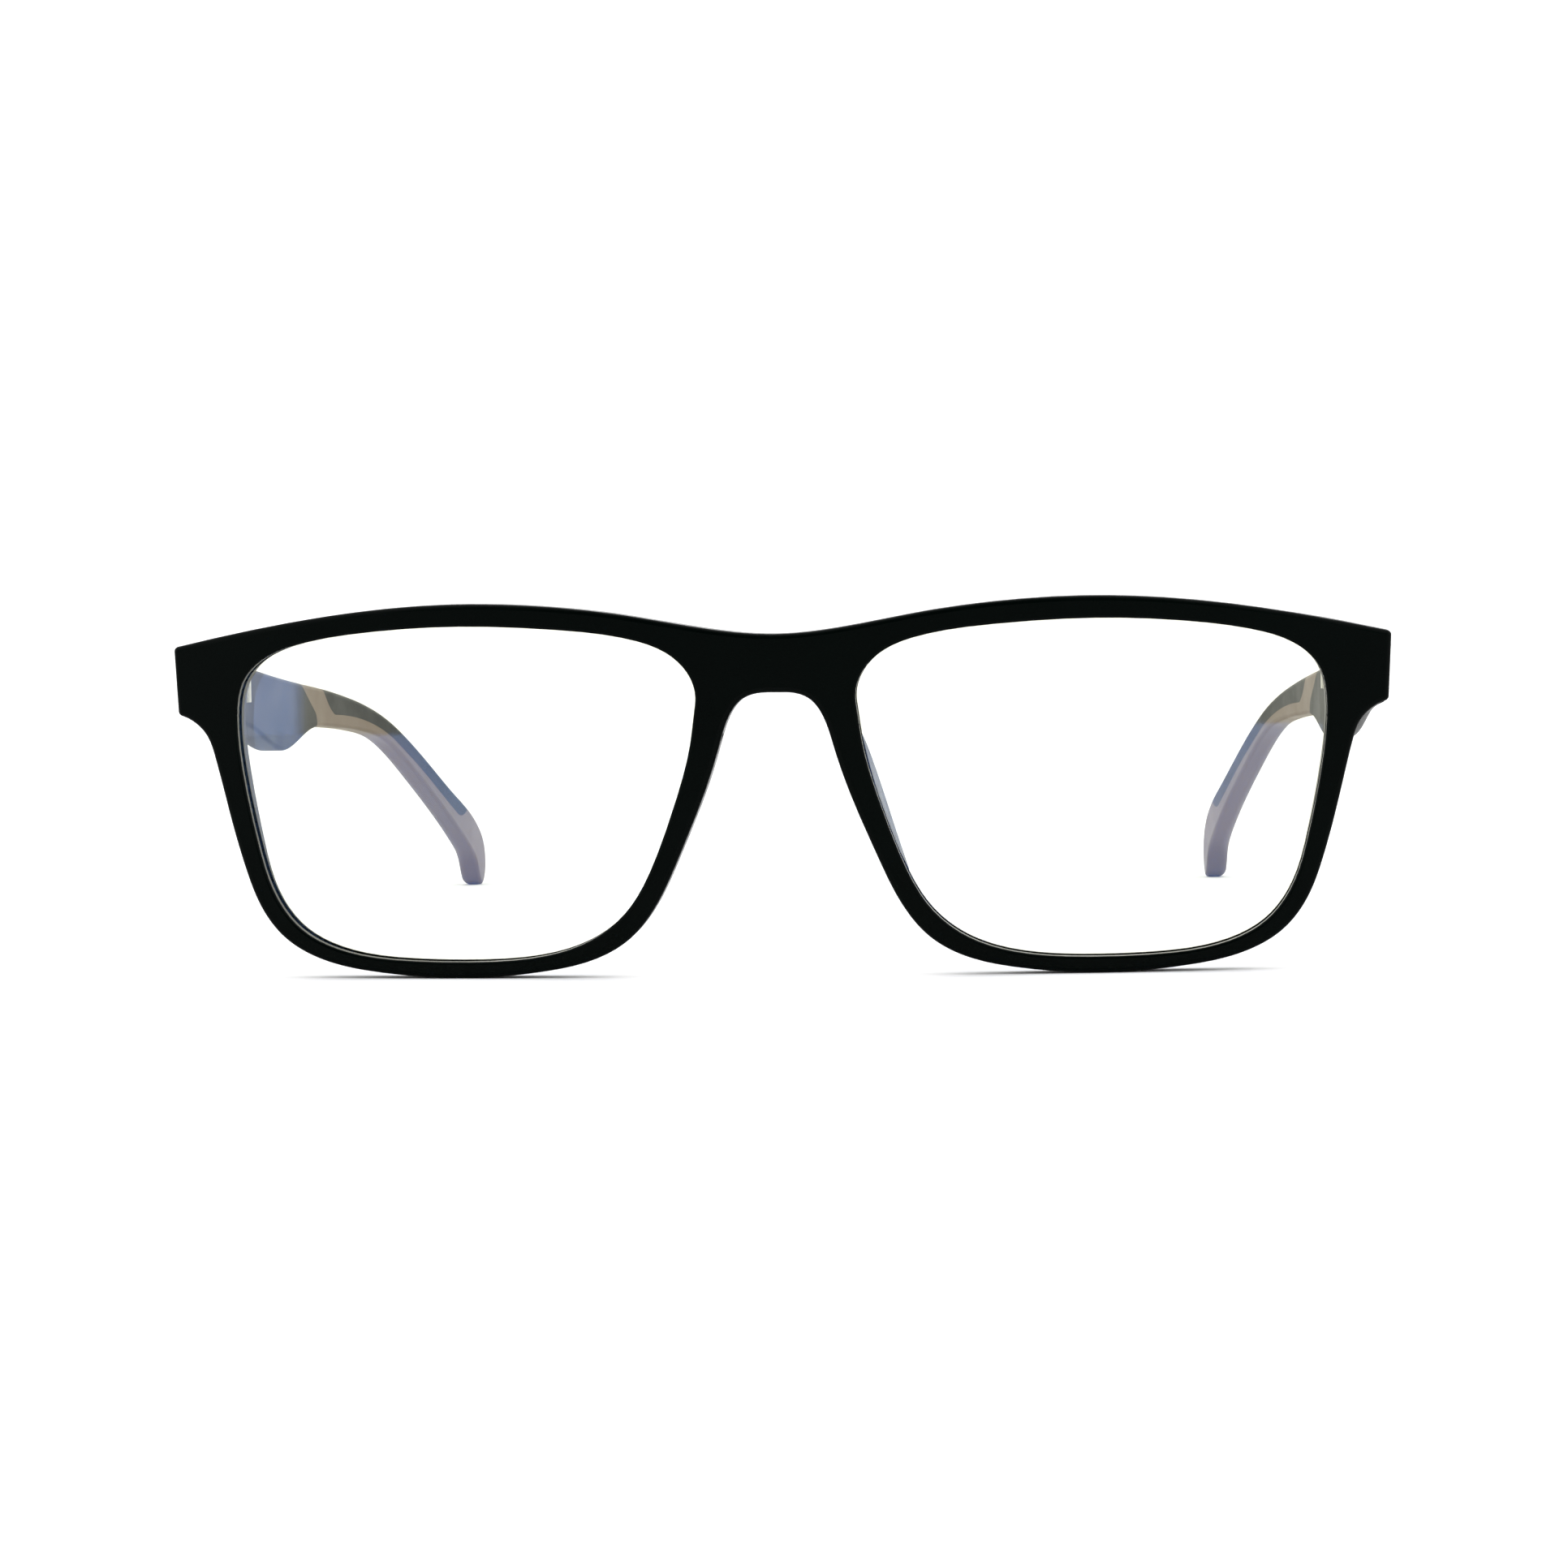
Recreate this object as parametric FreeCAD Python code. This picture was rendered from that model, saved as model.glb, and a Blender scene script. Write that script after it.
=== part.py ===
"""Full-rim plastic spectacles with curved clear lenses, screwed barrel hinges and two-tone temples.

Frame: X runs from the wearer's right to the wearer's left, +Y runs backwards along the temples, +Z is up.
The glasses stand open on the two rim bottoms and the two temple tips, at z = 0, and the origin is the
middle of the bounding box at that height.
While it is built, y = 0 is the front of the bridge; every piece is moved forward by half the depth at the end.
Everything is drawn for the wearer's left (+X) side, and mirrored for the right.
"""
import FreeCAD, Part
import math
import os

V = FreeCAD.Vector
X_AXIS = V(1, 0, 0)
Y_AXIS = V(0, 1, 0)
Z_AXIS = V(0, 0, 1)

# ---------------------------------------------------------------- driving dimensions, mm
DEPTH = 138.0              # bridge front to the rear of the temple tips
FAR = 100.0                # past every piece, for outlines that are pushed right through one
BELOW = 2.0                # how far such an outline starts outside the piece

# front
BOW_RADIUS = 470.0         # the front is bowed about an upright axis behind it
RIM_DEPTH = 4.0            # front to back, along the rims and the bridge
END_HALF_WIDTH = 72.0      # half of the overall width, at the end pieces
END_REAR_Y = 10.6          # flat rear face of the end pieces, which the temples butt against
RAMP_START_X = 60.0        # where the rim starts to thicken towards the end piece
RAMP_END_X = 65.6
FRONT_ROUND = 0.6          # rounding of the outer edges and corners of the front
REAR_ROUND = 0.4           # rounding of the rear edges of the rims and the brow
APERTURE_ROUND = 0.3       # rounding of the edges round the lenses
FRONT_STOCK = 20.0         # depth of the block that the front is cut from

# lenses
LENS_SEAT = 0.8            # how far a lens reaches into the rim
LENS_THICKNESS = 1.8
LENS_RADIUS = 300.0        # base curve of the outer face
LENS_CENTRE = V(36.9, 0, 21.7)
LENS_SETBACK = 0.75        # front of the bow to the front of the lens, at the lens centre

# nose pads, moulded with the front
PAD_START_Y = 1.5          # the pads grow out of the rims from inside them
PAD_REACH = 9.8            # y of the rear of the pads
PAD_BLANK_END_Y = 10.8     # the leaning blank that a pad is cut from ends behind it
PAD_NOSE_SPLAY = 1.9       # how far the nose side of the blank leans outwards over its depth
PAD_LENS_SPLAY = 0.5       # the same for its lens side
PAD_ROUND = 0.7

# hinge
AXIS_X = 65.45
KNUCKLE_RADIUS = 1.45
AXIS_STANDOFF = 1.6        # hinge axis behind the rear face of the end piece
AXIS_Y = END_REAR_Y + AXIS_STANDOFF
HINGE_MID_Z = 35.5
INNER_KNUCKLE_HEIGHT = 2.2
OUTER_KNUCKLE_HEIGHT = 1.8
KNUCKLE_GAP = 0.05
BARREL_HALF_HEIGHT = INNER_KNUCKLE_HEIGHT / 2 + KNUCKLE_GAP + OUTER_KNUCKLE_HEIGHT
LEAF_THICKNESS = 1.0
FRONT_LEAF_INNER_X = AXIS_X - 1.0
FRONT_LEAF_OUTER_X = 70.3
TEMPLE_LEAF_START = 0.6    # front end of the temple leaf behind the hinge axis
TEMPLE_LEAF_LENGTH = 9.6
TEMPLE_LEAF_HEIGHT = 3.6
TEMPLE_LEAF_CORNER = 1.2
TEMPLE_LEAF_FALL = 6.3     # the leaf follows the arm downwards, degrees
NECK_LENGTH = 2.2          # bridge from the middle knuckle to the temple leaf, behind the axis

# screws
HINGE_SCREW_RADIUS = 0.6
HINGE_SCREW_PLAY = 0.04
HINGE_HEAD_RADIUS = 1.1
HINGE_HEAD_HEIGHT = 0.55
HINGE_SCREW_TAIL = 0.35
HINGE_SLOT_TURN = 30       # degrees
LEAF_SCREW_RADIUS = 0.55
LEAF_HEAD_RADIUS = 0.95
LEAF_HEAD_HEIGHT = 0.45
FRONT_SCREW_X = 69.0
FRONT_SCREW_SPACING = 3.4
FRONT_SCREW_LENGTH = 4.2
TEMPLE_SCREWS = ((4.2, 105), (7.8, 195))    # distance behind the hinge axis and turn of the slot, degrees
TEMPLE_SCREW_LENGTH = 3.2
SLOT_WIDTH = 0.28
SLOT_DEPTH = 0.25
POINT_CHAMFER = 0.2
HEAD_ROUND_SHARE = 0.45    # rounding of a cheese head, as a share of its height

# temples
BUTT_GAP = 0.15
TEMPLE_FRONT_Y = END_REAR_Y + BUTT_GAP
TEMPLE_INNER_X = 67.5
TEMPLE_INNER_ROUND = 0.5
TEMPLE_OUTER_ROUND = 1.2
TEMPLE_LEAF_PROUD = 0.25   # how far the hinge leaf stands out of the temple's inner face
TENON_LENGTH = 9.0         # tongue of the arm inside the block
TENON_ROOT = 4.0           # how far the tongue reaches back into the arm
TENON_HEIGHT = 3.0
TENON_THICKNESS = 1.5
TENON_FALL = 6.5           # degrees
TENON_TOE = 4.5            # degrees, as the arm leans towards the head
TENON_PLACE = V(67.0, 63.0, 29.4)

# ---------------------------------------------------------------- outlines, half of each, mm
# top edge of the front, (x, z) from the middle of the bridge to the corner of the end piece
BROW = [(0, 40.25), (9, 41.15), (18, 42.75), (27, 43.8), (36.5, 44.2), (48, 43.6), (60, 41.9),
        (END_HALF_WIDTH, 39.45)]
# underside of the end piece, down the side of the rim, along its bottom and up the nose side to the arch
UNDERSIDE = [(71.6, 31.4), (69.6, 30.45), (68.2, 28.95), (67.3, 26.6), (65.75, 20.3), (63.8, 13.2),
             (61.9, 8.4), (59.1, 4.8), (54.8, 2.3), (47, 0.6), (38, 0.0), (28, 0.75), (21.5, 2.3),
             (17.7, 4.5), (14.7, 8.0), (11.6, 14.2), (8.9, 20.6), (6.75, 26.9), (5.3, 31.0), (3.9, 32.65),
             (2.2, 33.3), (0, 33.4)]
# opening in the rim for one lens
APERTURE = [(9.45, 32.0), (10.0, 35.3), (12.2, 37.8), (17.0, 39.8), (26, 41.05), (37.5, 41.55), (48, 41.03),
            (56, 39.85), (60.8, 38.1), (63.4, 35.6), (64.35, 31.2), (63.8, 24.5), (62.0, 15.6), (60.4, 10.5),
            (57.2, 6.0), (52, 3.3), (44, 2.1), (36, 1.95), (28, 2.6), (21.8, 4.7), (17.8, 8.0), (14.55, 13.7),
            (12.0, 20.55), (10.1, 27.4)]
# nose pad seen from the front: its nose side from the top down, and its lens side from the bottom up, (x, z)
PAD_NOSE_SIDE = [(6.2, 28.6), (7.7, 24.2), (9.4, 19.6), (11.4, 14.9), (13.4, 11.0)]
PAD_LENS_SIDE = [(15.8, 11.2), (13.9, 15.0), (12.2, 19.6), (10.85, 24.2), (9.8, 28.6)]
# nose pad seen from the side, (y, z) from the top down
PAD_PROFILE = [(PAD_START_Y, 29.6), (4.3, 28.5), (7.6, 25.9), (PAD_REACH, 20.8), (7.9, 15.0), (4.4, 11.9),
               (PAD_START_Y, 11.0)]

# temple seen from the side, (y, z): top edge, rounded tip and underside, round the block's belly to the front
TEMPLE_SIDE = [(TEMPLE_FRONT_Y, 38.1), (31, 35.85), (57, 33.0), (70, 31.6), (80.6, 30.1), (88.9, 28.5),
               (96.5, 26.3), (103, 23.6), (111.6, 19.3), (121.5, 14.4), (129, 11.2), (134.3, 8.4),
               (137.3, 5.7), (138.0, 3.1), (137.1, 0.9), (135.4, 0.0), (133.8, 1.0), (132.3, 3.2), (128.6, 5.9),
               (121.5, 9.8), (108, 17.3), (102, 20.55), (97.5, 22.6), (93.0, 24.05), (87.3, 25.05), (80.7, 25.8),
               (72.7, 26.45), (66.8, 26.8), (62.4, 26.55), (57.0, 25.65), (51.8, 24.85), (47.2, 24.75),
               (42.5, 25.5), (31, 28.3), (20.5, 29.8), (TEMPLE_FRONT_Y, 30.7)]
# rear end of the black block, (y, z) from above the top edge downwards
BLOCK_END = [(50.7, 36.7), (64.2, 29.05), (65.3, 27.9), (65.1, 26.2), (64.0, 20.0)]
# lower edge of the inlaid strip, (y, z) from its front end to its tail
INLAY_UNDER = [(74.3, 28.0), (84.1, 27.1), (91.4, 25.7), (96.6, 24.1), (102, 21.7), (108.7, 18.4),
               (115.9, 14.6), (122.0, 11.6)]
INLAY_FRONT = [(66.6, 33.6), (69.2, 31.2), (71.6, 29.3), (74.3, 28.0)]
INLAY_TAIL = [(122.0, 11.6), (124.4, 10.9), (127.4, 11.6), (129.4, 13.4)]
REGION_X = 40.0            # the outlines that part the arm start from this plane and go outwards
REGION_TOP_Z = 50.0

# temple seen from above, (distance of the face from the middle plane, y)
TEMPLE_INNER = [(TEMPLE_INNER_X, TEMPLE_FRONT_Y), (66.8, 36), (65.3, 62), (61.6, 90), (55.0, 120), (52.4, 142)]
TEMPLE_OUTER = [(71.8, TEMPLE_FRONT_Y), (70.9, 36), (68.9, 62), (64.8, 90), (58.1, 120), (55.4, 142)]


# ---------------------------------------------------------------- helpers
def xz(points, y=0.0):
    return [V(px, y, pz) for px, pz in points]


def yz(points, x=0.0):
    return [V(x, py, pz) for py, pz in points]


def xy(points, z=0.0):
    return [V(px, py, z) for px, py in points]


def mirrored(points):
    """The same points on the other side of the middle plane, in reverse order, without the middle point."""
    return [(-px, pz) for px, pz in reversed(points) if px != 0]


def curve(points, start=None, end=None):
    """A smooth edge through the points, with the given end directions where they matter."""
    spline = Part.BSplineCurve()
    if start is None:
        spline.interpolate(Points=points)
    else:
        spline.interpolate(Points=points, InitialTangent=start, FinalTangent=end)
    return spline.toShape()


def closed_spline(points):
    spline = Part.BSplineCurve()
    spline.interpolate(Points=points, PeriodicFlag=True)
    return spline


def lines(points):
    return [Part.makeLine(a, b) for a, b in zip(points[:-1], points[1:])]


def prism(edges, direction):
    """Solid made by pushing a closed outline along a direction."""
    wire = Part.Wire(Part.__sortEdges__(edges))
    return Part.Face(wire).extrude(direction)


def box(low, high):
    size = high - low
    return Part.makeBox(size.x, size.y, size.z, low)


def mirror(shape):
    return shape.mirror(V(0, 0, 0), X_AXIS)


def bow_y(x, radius=BOW_RADIUS):
    """y of the bowed surface of the given radius at a distance x from the middle."""
    return BOW_RADIUS - math.sqrt(radius ** 2 - x ** 2)


def edges_where(shape, test):
    """Edges whose middle point passes the test."""
    found = []
    for edge in shape.Edges:
        middle = edge.valueAt((edge.FirstParameter + edge.LastParameter) / 2)
        if test(middle, edge):
            found.append(edge)
    return found


# ---------------------------------------------------------------- front frame
def aperture_wire(growth=0.0):
    """Closed outline of a lens opening, made larger all round by the given distance."""
    opening = closed_spline(xz(APERTURE, -BELOW))
    if growth == 0:
        return Part.Wire([opening.toShape()])
    grown = []
    for point in xz(APERTURE, -BELOW):
        along = opening.tangent(opening.parameter(point))[0]
        grown.append(point + along.cross(Y_AXIS) * growth)
    return Part.Wire([closed_spline(grown).toShape()])


def front_outline():
    half_brow = mirrored(BROW)
    brow = curve(xz(half_brow + BROW, -BELOW))
    under = curve(xz(UNDERSIDE + mirrored(UNDERSIDE), -BELOW))
    left_side = lines(xz([BROW[-1], UNDERSIDE[0]], -BELOW))
    sides = left_side + [mirror(edge) for edge in left_side]
    return Part.Wire(Part.__sortEdges__([brow, under] + sides))


def front_planform():
    """The front seen from above: bowed front, bowed rear, and a ramp up to each flat end-piece rear."""
    reach = END_HALF_WIDTH + 3
    rear_radius = BOW_RADIUS - RIM_DEPTH
    rear_y = bow_y(RAMP_START_X, rear_radius)
    rear_slope = RAMP_START_X / math.sqrt(rear_radius ** 2 - RAMP_START_X ** 2)
    front = Part.Arc(V(-reach, bow_y(reach), 0), V(0, 0, 0), V(reach, bow_y(reach), 0)).toShape()
    rear = Part.Arc(V(-RAMP_START_X, rear_y, 0), V(0, RIM_DEPTH, 0), V(RAMP_START_X, rear_y, 0)).toShape()
    ramp = curve([V(RAMP_START_X, rear_y, 0), V(RAMP_END_X, END_REAR_Y, 0)],
                 V(1, rear_slope, 0), V(1, 0, 0))
    flats = lines([V(RAMP_END_X, END_REAR_Y, 0), V(reach, END_REAR_Y, 0), V(reach, bow_y(reach), 0)])
    side = [ramp] + flats
    plan = prism([front, rear] + side + [mirror(edge) for edge in side], V(0, 0, FAR))
    plan.translate(V(0, 0, -BELOW))
    return plan


def nose_pad():
    """A leaning, round-ended pad behind the nose side of the rim."""
    sections = []
    for y, nose_step, lens_step in ((PAD_START_Y, 0, 0), (PAD_BLANK_END_Y, PAD_NOSE_SPLAY, PAD_LENS_SPLAY)):
        nose_side = [(px + nose_step, pz) for px, pz in PAD_NOSE_SIDE]
        lens_side = [(px + lens_step, pz) for px, pz in PAD_LENS_SIDE]
        edges = [curve(xz(nose_side, y))] + lines(xz([nose_side[-1], lens_side[0]], y))
        edges += [curve(xz(lens_side, y))] + lines(xz([lens_side[-1], nose_side[0]], y))
        sections.append(Part.Wire(edges))
    leaning = Part.makeLoft(sections, True, True)
    profile = [curve(yz(PAD_PROFILE))] + lines(yz([PAD_PROFILE[-1], PAD_PROFILE[0]]))
    pad = leaning.common(prism(profile, V(FAR, 0, 0)))
    rear = edges_where(pad, lambda m, e: m.y > RIM_DEPTH + 1 and e.Length > 10)
    return pad.makeFillet(PAD_ROUND, rear)


def front_blank():
    """The moulded front before its grooves, pockets and screw holes are cut."""
    hole = aperture_wire()
    face = Part.makeFace([front_outline(), hole, mirror(hole)], "Part::FaceMakerBullseye")
    blank = face.extrude(V(0, FRONT_STOCK, 0)).common(front_planform())
    corners = edges_where(blank, lambda m, e: abs(m.x) > END_HALF_WIDTH - 1 and
                          abs(e.tangentAt(e.FirstParameter).y) > 0.9)
    blank = blank.makeFillet(FRONT_ROUND, corners + edges_where(blank, on_front_outline))
    blank = blank.makeFillet(APERTURE_ROUND, edges_where(blank, round_a_lens))
    return blank.makeFillet(REAR_ROUND, edges_where(blank, on_rear_outline))


def on_front_outline(middle, edge):
    """True for the outer edges of the bowed front face."""
    on_bow = abs(math.hypot(middle.x, middle.y - BOW_RADIUS) - BOW_RADIUS) < 1e-3
    return on_bow and not round_a_lens(middle, edge)


def on_rear_outline(middle, edge):
    """True for the outer edges of the bowed rear face, up to the ramps."""
    rear_radius = BOW_RADIUS - RIM_DEPTH
    on_bow = abs(math.hypot(middle.x, middle.y - BOW_RADIUS) - rear_radius) < 1e-3
    upright = abs(abs(middle.x) - RAMP_START_X) < 1e-3
    return on_bow and not upright and not round_a_lens(middle, edge)


def round_a_lens(_, edge):
    """True for the front and rear edges round each lens opening."""
    bounds = edge.BoundBox
    return abs(bounds.XMin) > 5 and bounds.XMin * bounds.XMax > 0 and bounds.XLength > 50 and bounds.ZMin > 1


def lens():
    """Meniscus lens: the aperture grown by the seat, cut from a spherical shell."""
    tilt = math.asin(LENS_CENTRE.x / BOW_RADIUS)
    apex = V(LENS_CENTRE.x, bow_y(LENS_CENTRE.x), LENS_CENTRE.z)
    inwards = V(-math.sin(tilt), math.cos(tilt), 0)
    centre = apex + inwards * (LENS_SETBACK + LENS_RADIUS)
    outer = Part.makeSphere(LENS_RADIUS, centre)
    inner = Part.makeSphere(LENS_RADIUS - LENS_THICKNESS, centre)
    blank = Part.Face(aperture_wire(LENS_SEAT)).extrude(V(0, FRONT_STOCK, 0))
    return blank.common(outer).cut(inner)


# ---------------------------------------------------------------- screws and hinge
def slotted_head(radius, height):
    """Cheese head standing on z = 0, with a rounded top and a screwdriver slot."""
    head = Part.makeCylinder(radius, height)
    head = head.makeFillet(height * HEAD_ROUND_SHARE, edges_where(head, lambda m, e: m.z > height - 1e-6))
    slot = box(V(-radius * 2, -SLOT_WIDTH / 2, height - SLOT_DEPTH), V(radius * 2, SLOT_WIDTH / 2, height + 1))
    return head.cut(slot)


def screw(head, radius, length):
    """The given head on a shank that runs down from z = 0 to a chamfered point."""
    shank = Part.makeCylinder(radius, length, V(0, 0, -length))
    point = edges_where(shank, lambda m, e: m.z < -length + 1e-6)
    return head.fuse(shank.makeChamfer(POINT_CHAMFER, point)).removeSplitter()


def countersunk_screw(radius, head_radius, length):
    """Screw whose conical slotted head ends flush at z = 0."""
    depth = head_radius - radius
    head = Part.makeCone(radius, head_radius, depth, V(0, 0, -depth))
    slot = box(V(-head_radius * 2, -SLOT_WIDTH / 2, -SLOT_DEPTH), V(head_radius * 2, SLOT_WIDTH / 2, 1))
    return screw(head, radius, length).cut(slot)


def placed(shape, axis, angle, position):
    moved = shape.copy()
    moved.Placement = FreeCAD.Placement(position, FreeCAD.Rotation(axis, angle))
    return moved


def hinge_screw():
    head = slotted_head(HINGE_HEAD_RADIUS, HINGE_HEAD_HEIGHT)
    made = screw(head, HINGE_SCREW_RADIUS, 2 * BARREL_HALF_HEIGHT + HINGE_SCREW_TAIL)
    return placed(made, Z_AXIS, HINGE_SLOT_TURN, V(AXIS_X, AXIS_Y, HINGE_MID_Z + BARREL_HALF_HEIGHT))


def front_leaf():
    """Plate let into the rear of the end piece, with the top and bottom knuckles on it."""
    low = HINGE_MID_Z - BARREL_HALF_HEIGHT
    high = HINGE_MID_Z + BARREL_HALF_HEIGHT
    leaf = box(V(FRONT_LEAF_INNER_X, END_REAR_Y - LEAF_THICKNESS, low), V(FRONT_LEAF_OUTER_X, END_REAR_Y, high))
    for bottom in (low, high - OUTER_KNUCKLE_HEIGHT):
        top = bottom + OUTER_KNUCKLE_HEIGHT
        knuckle = Part.makeCylinder(KNUCKLE_RADIUS, OUTER_KNUCKLE_HEIGHT, V(AXIS_X, AXIS_Y, bottom))
        web = box(V(FRONT_LEAF_INNER_X, END_REAR_Y - LEAF_THICKNESS, bottom),
                  V(AXIS_X + KNUCKLE_RADIUS, AXIS_Y, top))
        leaf = leaf.fuse([knuckle, web])
    return leaf.removeSplitter().cut(hinge_screw())


def front_leaf_screws():
    screws = []
    for dz in (-FRONT_SCREW_SPACING / 2, FRONT_SCREW_SPACING / 2):
        made = countersunk_screw(LEAF_SCREW_RADIUS, LEAF_HEAD_RADIUS, FRONT_SCREW_LENGTH)
        screws.append(placed(made, X_AXIS, -90, V(FRONT_SCREW_X, END_REAR_Y, HINGE_MID_Z + dz)))
    return Part.makeCompound(screws)


def temple_leaf_face_x():
    return TEMPLE_INNER_X - TEMPLE_LEAF_PROUD


def fallen(shape):
    """The shape turned about the hinge's middle to follow the arm downwards."""
    return shape.rotated(V(AXIS_X, AXIS_Y, HINGE_MID_Z), X_AXIS, -TEMPLE_LEAF_FALL)


def temple_leaf():
    """Plate let into the temple's inner face, with a neck to the middle knuckle."""
    low_z = HINGE_MID_Z - INNER_KNUCKLE_HEIGHT / 2
    high_z = HINGE_MID_Z + INNER_KNUCKLE_HEIGHT / 2
    face_x = temple_leaf_face_x()
    start_y = AXIS_Y + TEMPLE_LEAF_START
    plate = box(V(face_x, start_y, HINGE_MID_Z - TEMPLE_LEAF_HEIGHT / 2),
                V(face_x + LEAF_THICKNESS, start_y + TEMPLE_LEAF_LENGTH, HINGE_MID_Z + TEMPLE_LEAF_HEIGHT / 2))
    ends = edges_where(plate, lambda m, e: abs(e.tangentAt(e.FirstParameter).x) > 0.9 and m.y > start_y + 1)
    plate = fallen(plate.makeFillet(TEMPLE_LEAF_CORNER, ends))
    knuckle = Part.makeCylinder(KNUCKLE_RADIUS, INNER_KNUCKLE_HEIGHT, V(AXIS_X, AXIS_Y, low_z))
    neck = box(V(AXIS_X, AXIS_Y, low_z), V(face_x + LEAF_THICKNESS, AXIS_Y + NECK_LENGTH, high_z))
    bore = Part.makeCylinder(HINGE_SCREW_RADIUS + HINGE_SCREW_PLAY, FAR, V(AXIS_X, AXIS_Y, 0))
    return plate.fuse([knuckle, neck]).removeSplitter().cut(bore)


def temple_leaf_screws():
    screws = []
    for dy, slot_turn in TEMPLE_SCREWS:
        head = slotted_head(LEAF_HEAD_RADIUS, LEAF_HEAD_HEIGHT)
        made = screw(head, LEAF_SCREW_RADIUS, TEMPLE_SCREW_LENGTH)
        turned = placed(made, Z_AXIS, slot_turn, V(0, 0, 0))
        turned = turned.rotated(V(0, 0, 0), Y_AXIS, -90)
        turned.translate(V(temple_leaf_face_x(), AXIS_Y + dy, HINGE_MID_Z))
        screws.append(fallen(turned))
    return Part.makeCompound(screws)


# ---------------------------------------------------------------- temples
def temple_blank():
    """The whole arm: its side outline pushed through its shape from above, with rounded edges."""
    butt = lines(yz([TEMPLE_SIDE[-1], TEMPLE_SIDE[0]]))
    side = prism([curve(yz(TEMPLE_SIDE))] + butt, V(FAR, 0, 0))
    inner = curve(xy(TEMPLE_INNER))
    outer = curve(xy(TEMPLE_OUTER))
    ends = lines(xy([TEMPLE_INNER[0], TEMPLE_OUTER[0]])) + lines(xy([TEMPLE_INNER[-1], TEMPLE_OUTER[-1]]))
    above = prism([inner, outer] + ends, V(0, 0, FAR))
    above.translate(V(0, 0, -BELOW))
    return side.common(above)


def block_region():
    """Everything in front of the slanted, rounded end of the black block."""
    end = BLOCK_END
    under_z = end[-1][1]
    edges = lines(yz([(0, under_z), (0, REGION_TOP_Z), (end[0][0], REGION_TOP_Z), end[0], end[1]], REGION_X))
    edges.append(Part.Arc(*yz(end[1:4], REGION_X)).toShape())
    edges += lines(yz([end[3], end[4], (0, under_z)], REGION_X))
    return prism(edges, V(FAR, 0, 0))


def inlay_region():
    """Everything above the lower edge of the inlaid strip."""
    front = curve(yz(INLAY_FRONT, REGION_X))
    under = curve(yz(INLAY_UNDER, REGION_X))
    tail = curve(yz(INLAY_TAIL, REGION_X))
    front_top = (INLAY_FRONT[0][0], REGION_TOP_Z)
    tail_top = (INLAY_TAIL[-1][0], REGION_TOP_Z)
    lid = lines(yz([INLAY_FRONT[0], front_top, tail_top, INLAY_TAIL[-1]], REGION_X))
    return prism([front, under, tail] + lid, V(FAR, 0, 0))


def tenon():
    """Tongue of the arm that is glued into the block."""
    tongue = box(V(-TENON_THICKNESS / 2, -TENON_LENGTH, -TENON_HEIGHT / 2),
                 V(TENON_THICKNESS / 2, TENON_ROOT, TENON_HEIGHT / 2))
    tongue = tongue.rotated(V(0, 0, 0), X_AXIS, -TENON_FALL)
    tongue = tongue.rotated(V(0, 0, 0), Z_AXIS, TENON_TOE)
    tongue.translate(TENON_PLACE)
    return tongue


def temple_pieces():
    blank = temple_blank()
    inner_edges = edges_where(blank, lambda m, e: runs_along(m, e) and m.x < mid_thickness_x(m.y))
    rounded = blank.makeFillet(TEMPLE_INNER_ROUND, inner_edges)
    outer_edges = edges_where(rounded, lambda m, e: runs_along(m, e) and m.x > mid_thickness_x(m.y) + 0.9)
    rounded = rounded.makeFillet(TEMPLE_OUTER_ROUND, outer_edges)
    leaf = temple_leaf()
    screws = temple_leaf_screws()
    block = rounded.common(block_region())
    rest = rounded.cut(block_region())
    inlay = rest.common(inlay_region())
    arm = rest.cut(inlay_region())
    tongue = tenon()
    arm = arm.fuse(tongue).removeSplitter()
    block = block.cut(tongue).cut(leaf).cut(screws)
    leaf = leaf.cut(screws)
    return {"temple_block": block, "temple_core": arm, "temple_inlay": inlay,
            "hinge_temple_leaf": leaf, "temple_leaf_screws": screws}


def mid_thickness_x(y):
    """Distance from the middle plane of the middle of the arm's thickness."""
    points = [((ix + ox) / 2, iy) for (ix, iy), (ox, _) in zip(TEMPLE_INNER, TEMPLE_OUTER)]
    for (x0, y0), (x1, y1) in zip(points[:-1], points[1:]):
        if y <= y1:
            return x0 + (x1 - x0) * (y - y0) / (y1 - y0)
    return points[-1][0]


def runs_along(middle, edge):
    """True for the edges between a face of the arm and its top or underside."""
    across = abs(edge.tangentAt((edge.FirstParameter + edge.LastParameter) / 2).x) > 0.9
    return middle.y > TEMPLE_FRONT_Y + 0.01 and not across


# ---------------------------------------------------------------- assembly
def single(shape):
    """A one-solid compound as its solid."""
    return shape.Solids[0] if len(shape.Solids) == 1 else shape


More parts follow.
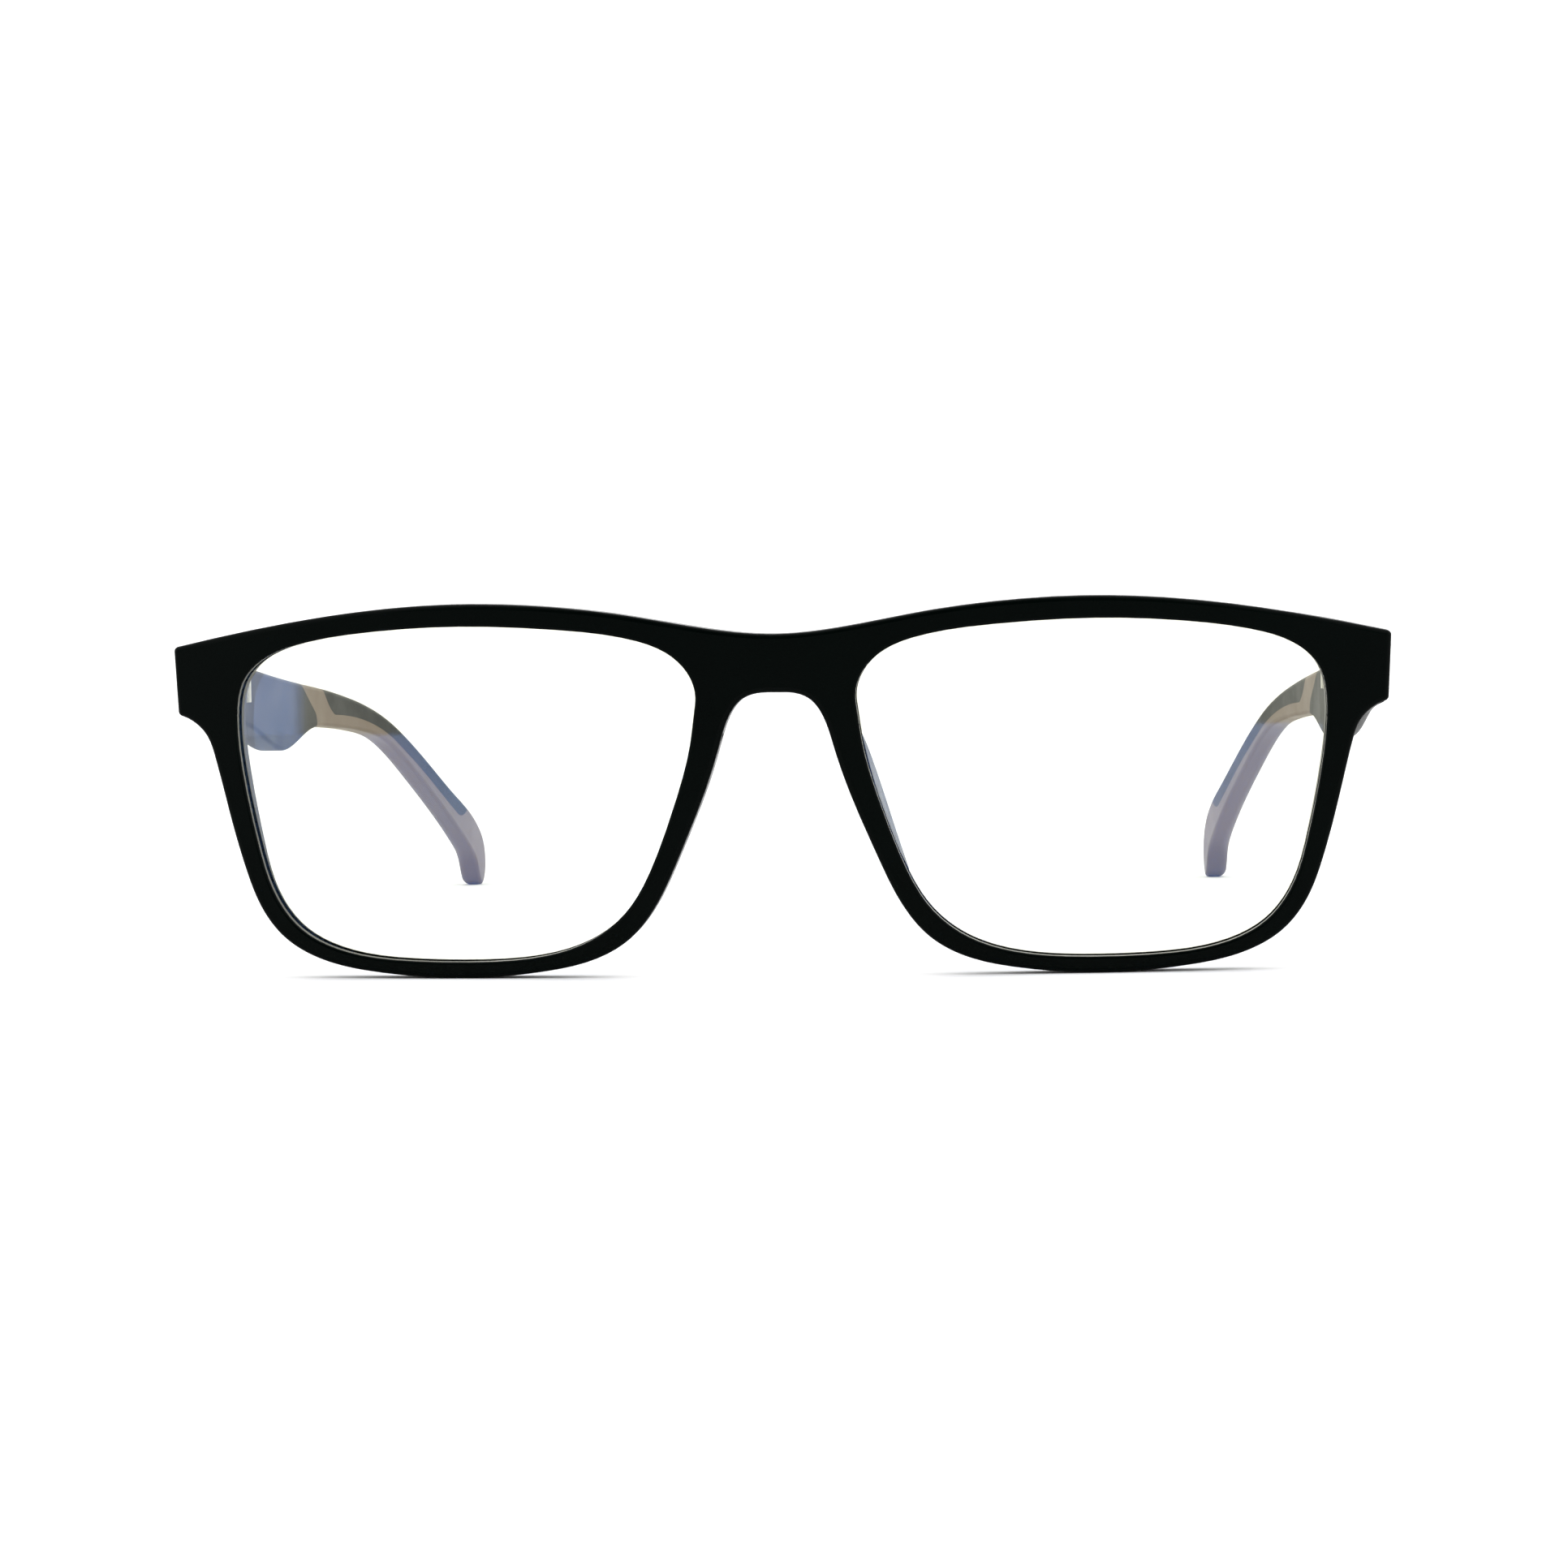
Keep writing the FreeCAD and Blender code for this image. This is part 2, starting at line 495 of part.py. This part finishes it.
def main():
    os.makedirs("parts", exist_ok=True)
    glass = lens()
    leaf = front_leaf()
    screws = front_leaf_screws()
    side = {"lens": glass, "hinge_front_leaf": leaf.cut(screws), "front_leaf_screws": screws,
            "hinge_screw": hinge_screw()}
    side.update(temple_pieces())
    frame = front_blank()
    pad = nose_pad()
    frame = frame.fuse([pad, mirror(pad)]).removeSplitter()
    cutters = [glass, leaf, screws]
    frame = frame.cut(cutters + [mirror(cutter) for cutter in cutters])
    nodes = {"front_frame": frame}
    for name, shape in side.items():
        nodes[name + "_left"] = shape
        nodes[name + "_right"] = mirror(shape)
    for name, shape in nodes.items():
        shape = single(shape.copy())
        shape.translate(V(0, -DEPTH / 2, 0))
        shape.exportStep("parts/" + name + ".step")
        bounds = shape.BoundBox
        print(name, len(shape.Solids), shape.isValid(), round(shape.Volume, 2),
              [round(value, 2) for value in (bounds.XMin, bounds.YMin, bounds.ZMin,
                                             bounds.XMax, bounds.YMax, bounds.ZMax)])


main()
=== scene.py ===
"""Looks of the blue light glasses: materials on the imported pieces, a white studio and the camera.

Lengths are in metres unless a name says otherwise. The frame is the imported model's: +X to the wearer's left,
+Y backwards, +Z up.
"""
import math

import bpy
from mathutils import Matrix, Vector


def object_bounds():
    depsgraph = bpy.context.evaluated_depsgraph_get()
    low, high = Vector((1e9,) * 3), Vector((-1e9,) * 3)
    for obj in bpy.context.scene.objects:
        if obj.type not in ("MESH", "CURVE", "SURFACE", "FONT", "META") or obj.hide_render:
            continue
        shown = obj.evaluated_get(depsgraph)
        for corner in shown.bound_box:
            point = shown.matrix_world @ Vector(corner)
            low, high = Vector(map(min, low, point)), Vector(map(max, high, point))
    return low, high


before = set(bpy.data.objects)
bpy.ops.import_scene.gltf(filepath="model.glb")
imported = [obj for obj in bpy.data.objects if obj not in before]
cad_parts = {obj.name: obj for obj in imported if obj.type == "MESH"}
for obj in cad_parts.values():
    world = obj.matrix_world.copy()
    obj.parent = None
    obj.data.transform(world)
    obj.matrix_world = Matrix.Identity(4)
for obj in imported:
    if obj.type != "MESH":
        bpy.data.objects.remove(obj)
cad_low, cad_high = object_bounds()

MM = 0.001

# ---------------------------------------------------------------- camera
AIM = Vector((0.0009, cad_low.y, 0.0227))
CAMERA_DISTANCE = 0.549
CAMERA_SIDE = math.radians(3.88)       # to the wearer's left of straight ahead
CAMERA_ELEVATION = math.radians(3.59)
CAMERA_ROLL = math.radians(-0.92)
CAMERA_NEAR_CLIP = 0.01
SENSOR_WIDTH_MM = 36.0
FOCAL_LENGTH_MM = 107.8

# ---------------------------------------------------------------- studio
FLOOR_SIZE = 12.0
FLOOR_COLOUR = (0.90, 0.90, 0.90)
WHITE = (1.0, 1.0, 1.0)
SKY_STRENGTH = 2.0
DARK_STRENGTH = 0.02
DARK_HALF_ANGLE = math.radians(26.6)   # of the dark sector, to each side of straight ahead of the glasses
DARK_EDGE = math.radians(0.6)          # it turns to white over this much to each side of that angle
BACKGROUND_SEEN = 2.2                  # strength of the white that camera rays meet

# ---------------------------------------------------------------- colours, linear
FRAME_BLACK = (0.0004, 0.0013, 0.0010)
TEMPLE_BLACK = (0.005, 0.007, 0.006)
TEMPLE_BROWN = (0.122, 0.090, 0.064)
LENS_TINT = (0.995, 0.995, 0.93)
COATING_BLUE = (0.20, 0.43, 1.0)
COATING_VIOLET = (0.28, 0.38, 1.0)
GROUND_EDGE = (0.50, 0.56, 0.48)
NICKEL_SILVER = (0.45, 0.45, 0.41)
SCREW_STEEL = (0.33, 0.33, 0.34)

# ---------------------------------------------------------------- textures and gloss
PLASTIC_IOR = 1.5
TONE_PATCH = 9 * MM
HANDLING_PATCH = 5 * MM
HANDLING_SPREAD = 0.05                 # of a plastic's roughness, up and down

METAL_MARK = 0.25 * MM
METAL_MARK_DEPTH = 0.004 * MM
METAL_DARKEST = 0.88                   # share of the metal's colour
METAL_SMOOTHER = 0.06                  # how far the roughness goes down
METAL_ROUGHER = 0.08                   # and up

FILM_PATCH = 16 * MM
SMEAR_PATCH = 6 * MM
SMEAR_ROUGHNESS = (0.01, 0.05)
MIRROR_SHARE = 0.062                   # of the light that meets one face of a lens head on
SLANT_POWER = 5.0                      # Schlick's rule for how that share grows towards a grazing view

GROUND_ROUGHNESS = 0.6
GROUND_MARK = 0.35 * MM
GROUND_MARK_DEPTH = 0.02 * MM
GROUND_MARK_SCALE = (1.0, 0.08, 1.0)   # long marks along Y, across the lens's edge
GROUND_TONES = (0.55, 1.45)            # shares of the edge's colour

# ---------------------------------------------------------------- shading of the meshes
SHARP_ANGLE = math.radians(32)         # an edge between faces that turn more than this stays crisp
SIDE_FACING = 0.5                      # a face whose normal has less of Y than this is on a lens's edge
EDGE_CLEARANCE = 0.02 * MM             # how far a lens is drawn in, all over

# ---------------------------------------------------------------- node details
NOISE_ROUGHNESS = 0.55
NOISE_MIDDLE = (0.3, 0.7)              # the part of a noise's range that a spread uses
FACING_BLEND = 0.5                     # at this Blend, Facing is one less the cosine of the view's slant
MIX_COLOUR_INPUTS = (6, 7)             # a Mix node has its colours at these places
MIX_COLOUR_OUTPUT = 2
MIX_SHADER_INPUTS = (1, 2)             # a Mix Shader node has its shaders at these places


def scaled(colour, factor):
    return tuple(channel * factor for channel in colour)


def opaque(colour):
    return (*colour, 1.0)


class Tree:
    """Short names for the node calls that the materials and the world share."""

    def __init__(self, owner):
        owner.use_nodes = True
        self.tree = owner.node_tree
        self.tree.nodes.clear()

    def add(self, kind, **inputs):
        """A new node, with values for inputs whose names are given with _ for each space."""
        node = self.tree.nodes.new(kind)
        for name, value in inputs.items():
            node.inputs[name.replace("_", " ")].default_value = value
        return node

    def link(self, source, target):
        self.tree.links.new(source, target)

    def noise(self, size, detail, scale=None):
        """Noise with features about size across, or 1/scale times that along each axis."""
        node = self.add("ShaderNodeTexNoise", Scale=1.0 / size, Detail=detail, Roughness=NOISE_ROUGHNESS)
        place = self.add("ShaderNodeTexCoord").outputs["Object"]
        if scale is not None:
            mapping = self.add("ShaderNodeMapping", Scale=scale)
            self.link(place, mapping.inputs["Vector"])
            place = mapping.outputs["Vector"]
        self.link(place, node.inputs["Vector"])
        return node.outputs["Fac"]

    def map_range(self, value, old, new):
        """A Map Range node that takes the old range, (low, high), to the new one."""
        node = self.add("ShaderNodeMapRange")
        for name, number in zip(("From Min", "From Max", "To Min", "To Max"), (*old, *new)):
            node.inputs[name].default_value = number
        self.link(value, node.inputs["Value"])
        return node

    def spread(self, noise, low, high):
        """The middle of a noise's range, taken to low to high."""
        return self.map_range(noise, NOISE_MIDDLE, (low, high)).outputs["Result"]

    def blend(self, factor, first, second):
        """A colour between two colours."""
        node = self.add("ShaderNodeMix")
        node.data_type = "RGBA"
        self.link(factor, node.inputs["Factor"])
        for socket, colour in zip(MIX_COLOUR_INPUTS, (first, second)):
            node.inputs[socket].default_value = opaque(colour)
        return node.outputs[MIX_COLOUR_OUTPUT]

    def bump(self, height, depth):
        node = self.add("ShaderNodeBump", Strength=1.0, Distance=depth)
        self.link(height, node.inputs["Height"])
        return node.outputs["Normal"]

    def calculate(self, operation, *values):
        """The result of a Math node whose inputs are sockets or numbers."""
        node = self.add("ShaderNodeMath")
        node.operation = operation
        for socket, value in zip(node.inputs, values):
            if isinstance(value, bpy.types.NodeSocket):
                self.link(value, socket)
            else:
                socket.default_value = value
        return node.outputs["Value"]

    def mix_shaders(self, share, first, second):
        """The first shader, with the share of it replaced by the second."""
        node = self.add("ShaderNodeMixShader")
        self.link(share, node.inputs["Fac"])
        for socket, shader in zip(MIX_SHADER_INPUTS, (first, second)):
            self.link(shader, node.inputs[socket])
        return node.outputs["Shader"]

    def output(self, surface, kind="ShaderNodeOutputMaterial"):
        self.link(surface, self.add(kind).inputs["Surface"])


# ---------------------------------------------------------------- materials
def plastic(name, colour, roughness, specular, grain, grain_depth, tone):
    """Moulded plastic with a fine grain, slight handling marks and uneven tone."""
    material = bpy.data.materials.new(name)
    tree = Tree(material)
    shader = tree.add("ShaderNodeBsdfPrincipled", IOR=PLASTIC_IOR)
    shader.inputs["Specular IOR Level"].default_value = specular
    patches = tree.noise(TONE_PATCH, detail=4.0)
    tones = tree.blend(patches, scaled(colour, 1 - tone), scaled(colour, 1 + tone))
    tree.link(tones, shader.inputs["Base Color"])
    handling = tree.noise(HANDLING_PATCH, detail=5.0)
    gloss = tree.spread(handling, roughness - HANDLING_SPREAD, roughness + HANDLING_SPREAD)
    tree.link(gloss, shader.inputs["Roughness"])
    fine = tree.noise(grain, detail=2.0)
    tree.link(tree.bump(fine, grain_depth), shader.inputs["Normal"])
    tree.output(shader.outputs["BSDF"])
    return material


def metal(name, colour, roughness, mark_scale):
    """Metal with fine marks, which are shorter along an axis whose mark_scale is above 1."""
    material = bpy.data.materials.new(name)
    tree = Tree(material)
    shader = tree.add("ShaderNodeBsdfPrincipled", Metallic=1.0)
    marks = tree.noise(METAL_MARK, detail=3.0, scale=mark_scale)
    tree.link(tree.blend(marks, scaled(colour, METAL_DARKEST), colour), shader.inputs["Base Color"])
    gloss = tree.spread(marks, roughness - METAL_SMOOTHER, roughness + METAL_ROUGHER)
    tree.link(gloss, shader.inputs["Roughness"])
    tree.link(tree.bump(marks, METAL_MARK_DEPTH), shader.inputs["Normal"])
    tree.output(shader.outputs["BSDF"])
    return material


def coated_lens(name):
    """Clear lens that filters a little blue and mirrors blue from its coating."""
    material = bpy.data.materials.new(name)
    tree = Tree(material)
    clear = tree.add("ShaderNodeBsdfTransparent", Color=opaque(LENS_TINT))
    mirror = tree.add("ShaderNodeBsdfGlossy")
    film = tree.noise(FILM_PATCH, detail=1.0)
    tree.link(tree.blend(film, COATING_BLUE, COATING_VIOLET), mirror.inputs["Color"])
    smears = tree.noise(SMEAR_PATCH, detail=4.0)
    tree.link(tree.spread(smears, *SMEAR_ROUGHNESS), mirror.inputs["Roughness"])
    slant = tree.add("ShaderNodeLayerWeight", Blend=FACING_BLEND)
    steep = tree.calculate("POWER", slant.outputs["Facing"], SLANT_POWER)
    share = tree.calculate("MULTIPLY_ADD", steep, 1.0 - MIRROR_SHARE, MIRROR_SHARE)
    tree.output(tree.mix_shaders(share, clear.outputs["BSDF"], mirror.outputs["BSDF"]))
    return material


def ground_edge(name):
    """The frosted edge that a lens is ground to, with the wheel's marks across it."""
    material = bpy.data.materials.new(name)
    tree = Tree(material)
    shader = tree.add("ShaderNodeBsdfPrincipled", Roughness=GROUND_ROUGHNESS)
    marks = tree.noise(GROUND_MARK, detail=2.0, scale=GROUND_MARK_SCALE)
    dark, light = (scaled(GROUND_EDGE, share) for share in GROUND_TONES)
    tree.link(tree.blend(marks, dark, light), shader.inputs["Base Color"])
    tree.link(tree.bump(marks, GROUND_MARK_DEPTH), shader.inputs["Normal"])
    tree.output(shader.outputs["BSDF"])
    return material


def floor_material():
    material = bpy.data.materials.new("floor_white")
    tree = Tree(material)
    shader = tree.add("ShaderNodeBsdfDiffuse", Color=opaque(FLOOR_COLOUR))
    tree.output(shader.outputs["BSDF"])
    return material


# ---------------------------------------------------------------- pieces
def dress(piece, material, side_material=None):
    """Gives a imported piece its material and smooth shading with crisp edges; its sides may have their own."""
    piece.data.materials.clear()
    piece.data.materials.append(material)
    if side_material is not None:
        piece.data.materials.append(side_material)
    for polygon in piece.data.polygons:
        polygon.use_smooth = True
        on_side = side_material is not None and abs(polygon.normal.y) < SIDE_FACING
        polygon.material_index = 1 if on_side else 0
    piece.data.set_sharp_from_angle(angle=SHARP_ANGLE)


def draw_in(lens):
    """Draws a lens in by EDGE_CLEARANCE all over, because its CAD edge lies against the groove."""
    shrink = lens.modifiers.new("edge_clearance", "DISPLACE")
    shrink.mid_level = 0.0
    shrink.strength = -EDGE_CLEARANCE


def dress_all():
    """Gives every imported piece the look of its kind; the kind is its name without the side."""
    frame_black = plastic("frame_black", FRAME_BLACK, roughness=0.27, specular=0.03,
                          grain=0.16 * MM, grain_depth=0.003 * MM, tone=0.25)
    temple_black = plastic("temple_black", TEMPLE_BLACK, roughness=0.42, specular=0.11,
                           grain=0.20 * MM, grain_depth=0.003 * MM, tone=0.25)
    temple_brown = plastic("temple_brown", TEMPLE_BROWN, roughness=0.42, specular=0.18,
                           grain=0.20 * MM, grain_depth=0.001 * MM, tone=0.08)
    lens = coated_lens("lens")
    lens_edge = ground_edge("lens_edge")
    silver = metal("hinge_metal", NICKEL_SILVER, roughness=0.22, mark_scale=(1.0, 1.0, 6.0))
    steel = metal("screw_steel", SCREW_STEEL, roughness=0.28, mark_scale=(1.0, 6.0, 1.0))
    looks = {
        "front_frame": frame_black,
        "temple_block": temple_black,
        "temple_inlay": temple_black,
        "temple_core": temple_brown,
        "hinge_front_leaf": silver,
        "hinge_temple_leaf": silver,
        "hinge_screw": steel,
        "front_leaf_screws": steel,
        "temple_leaf_screws": steel,
    }
    for node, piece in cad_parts.items():
        kind = node.removesuffix("_left").removesuffix("_right")
        if kind == "lens":
            dress(piece, lens, lens_edge)
            draw_in(piece)
        else:
            dress(piece, looks[kind])


# ---------------------------------------------------------------- studio
def make_floor():
    bpy.ops.mesh.primitive_plane_add(size=FLOOR_SIZE, location=(0, 0, cad_low.z))
    floor = bpy.context.object
    floor.name = "floor"
    floor.data.materials.append(floor_material())


def make_world():
    """White all round but for a dark sector ahead of the glasses; camera rays meet plain white everywhere."""
    world = bpy.data.worlds.new("studio")
    bpy.context.scene.world = world
    tree = Tree(world)
    direction = tree.add("ShaderNodeTexCoord").outputs["Generated"]
    parts = tree.add("ShaderNodeSeparateXYZ")
    tree.link(direction, parts.inputs["Vector"])
    sideways = tree.calculate("ABSOLUTE", parts.outputs["X"])
    forwards = tree.calculate("MULTIPLY", parts.outputs["Y"], -1.0)
    turn = tree.calculate("ARCTAN2", sideways, forwards)
    dark_limit = (DARK_HALF_ANGLE - DARK_EDGE, DARK_HALF_ANGLE + DARK_EDGE)
    strength = tree.map_range(turn, dark_limit, (DARK_STRENGTH, SKY_STRENGTH))
    strength.interpolation_type = "SMOOTHSTEP"
    lit = tree.add("ShaderNodeBackground", Color=opaque(WHITE))
    tree.link(strength.outputs["Result"], lit.inputs["Strength"])
    seen = tree.add("ShaderNodeBackground", Color=opaque(WHITE), Strength=BACKGROUND_SEEN)
    camera_ray = tree.add("ShaderNodeLightPath").outputs["Is Camera Ray"]
    mixed = tree.mix_shaders(camera_ray, lit.outputs["Background"], seen.outputs["Background"])
    tree.output(mixed, "ShaderNodeOutputWorld")


def make_camera():
    """A camera that looks at AIM from in front, slightly above and to the wearer's left, a little rolled."""
    data = bpy.data.cameras.new("camera")
    data.sensor_width = SENSOR_WIDTH_MM
    data.lens = FOCAL_LENGTH_MM
    data.clip_start = CAMERA_NEAR_CLIP
    camera = bpy.data.objects.new("camera", data)
    bpy.context.scene.collection.objects.link(camera)
    back = Vector((math.sin(CAMERA_SIDE) * math.cos(CAMERA_ELEVATION),
                   -math.cos(CAMERA_SIDE) * math.cos(CAMERA_ELEVATION),
                   math.sin(CAMERA_ELEVATION)))
    level_right = Vector((math.cos(CAMERA_SIDE), math.sin(CAMERA_SIDE), 0))
    level_up = back.cross(level_right)
    right = level_right * math.cos(CAMERA_ROLL) + level_up * math.sin(CAMERA_ROLL)
    up = level_up * math.cos(CAMERA_ROLL) - level_right * math.sin(CAMERA_ROLL)
    turn = Matrix((right, up, back)).transposed()
    camera.matrix_world = Matrix.Translation(AIM + back * CAMERA_DISTANCE) @ turn.to_4x4()
    bpy.context.scene.camera = camera


bpy.context.scene.view_settings.view_transform = "Standard"
make_camera()
make_world()
make_floor()
dress_all()
